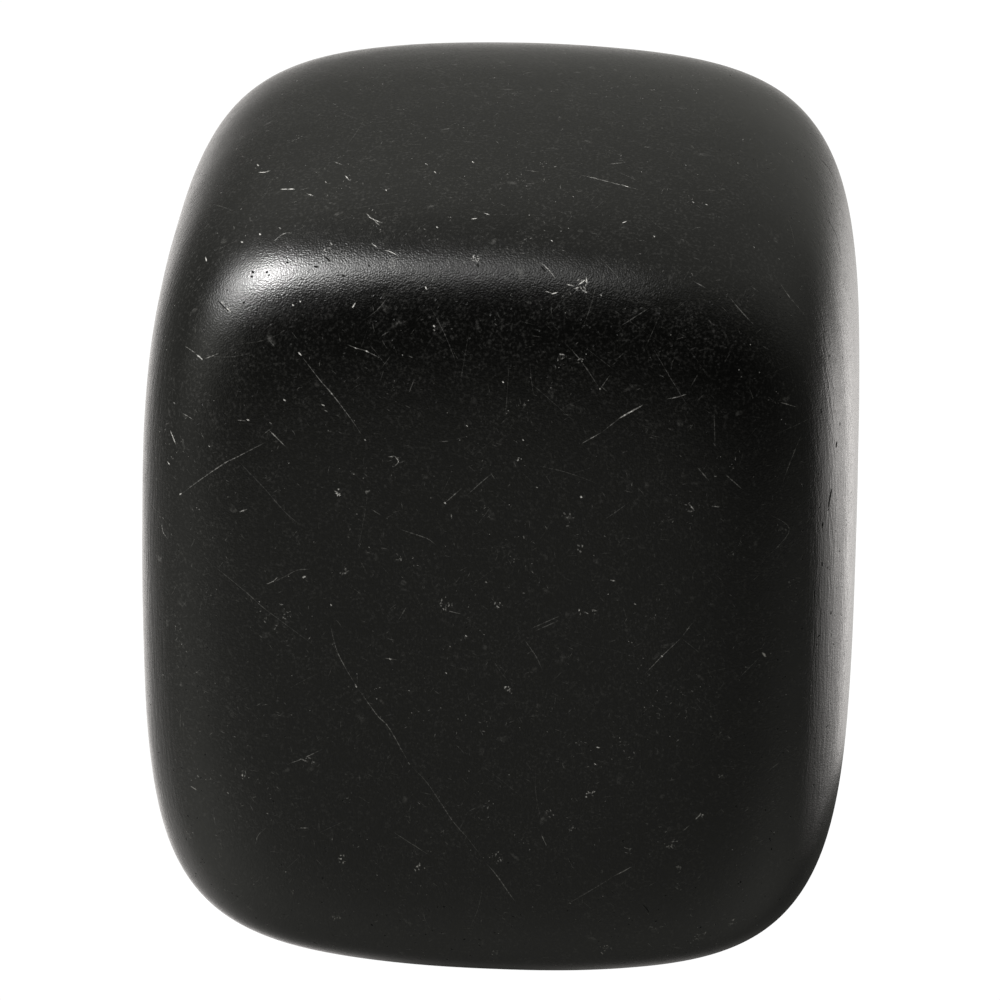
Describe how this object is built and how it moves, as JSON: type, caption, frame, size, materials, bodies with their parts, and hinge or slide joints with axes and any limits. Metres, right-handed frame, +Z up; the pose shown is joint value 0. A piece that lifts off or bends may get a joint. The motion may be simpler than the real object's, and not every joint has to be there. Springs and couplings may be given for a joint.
{
  "type": "shungite rock",
  "caption": "Tumbled black shungite rock, a rounded block with a satin skin that stands on a small flat spot, to display or hold in the hand.",
  "frame": {"origin": "on the plane of the flat spot that the stone stands on, under the middle of its box", "axes": "+Z up, along the stone's height; +X towards its right side as the picture shows it; +Y towards its back"},
  "size_m": [0.0246, 0.025, 0.0299],
  "materials": {
    "shungite": "black rock with a satin tumbled skin, fine grey hairline scratches, specks and small pits"
  },
  "bodies": {
    "root": {"shungite_stone": "shungite"}
  },
  "joints": []
}
